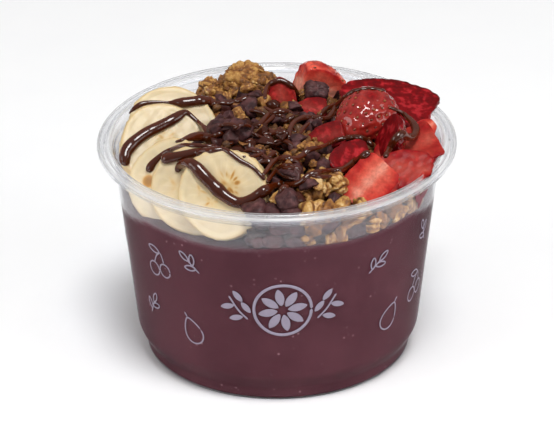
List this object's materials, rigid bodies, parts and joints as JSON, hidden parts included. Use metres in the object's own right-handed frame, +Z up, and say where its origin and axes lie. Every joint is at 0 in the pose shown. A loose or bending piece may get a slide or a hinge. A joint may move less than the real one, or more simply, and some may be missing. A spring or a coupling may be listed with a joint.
{
  "type": "acai bowl",
  "caption": "Clear deep round tub filled with frozen acai puree and topped with banana slices, a granola and chocolate chip heap, strawberry pieces and chocolate drizzle.",
  "frame": {"origin": "centre of the tub's base, on the surface that it stands on", "axes": "+Z up, -Y towards the front, which shows the banana slices on the left and the strawberries on the right"},
  "size_m": [0.1168, 0.1168, 0.0871],
  "materials": {
    "clear_plastic": "clear, smooth and thin",
    "puree": "moist, slightly frosty",
    "granola": "dry, rough",
    "banana": "moist",
    "strawberry": "moist, glossy"
  },
  "bodies": {
    "root": {"tub": "clear_plastic", "acai_puree": "puree", "granola_heap": "granola", "banana_slice_1": "banana", "banana_slice_2": "banana", "banana_slice_3": "banana", "banana_slice_4": "banana", "banana_slice_5": "banana", "strawberry_1": "strawberry", "strawberry_2": "strawberry", "strawberry_3": "strawberry", "strawberry_4": "strawberry", "strawberry_5": "strawberry", "strawberry_6": "strawberry", "strawberry_7": "strawberry", "strawberry_8": "strawberry", "strawberry_9": "strawberry", "strawberry_10": "strawberry", "strawberry_11": "strawberry", "strawberry_12": "strawberry"}
  },
  "joints": []
}
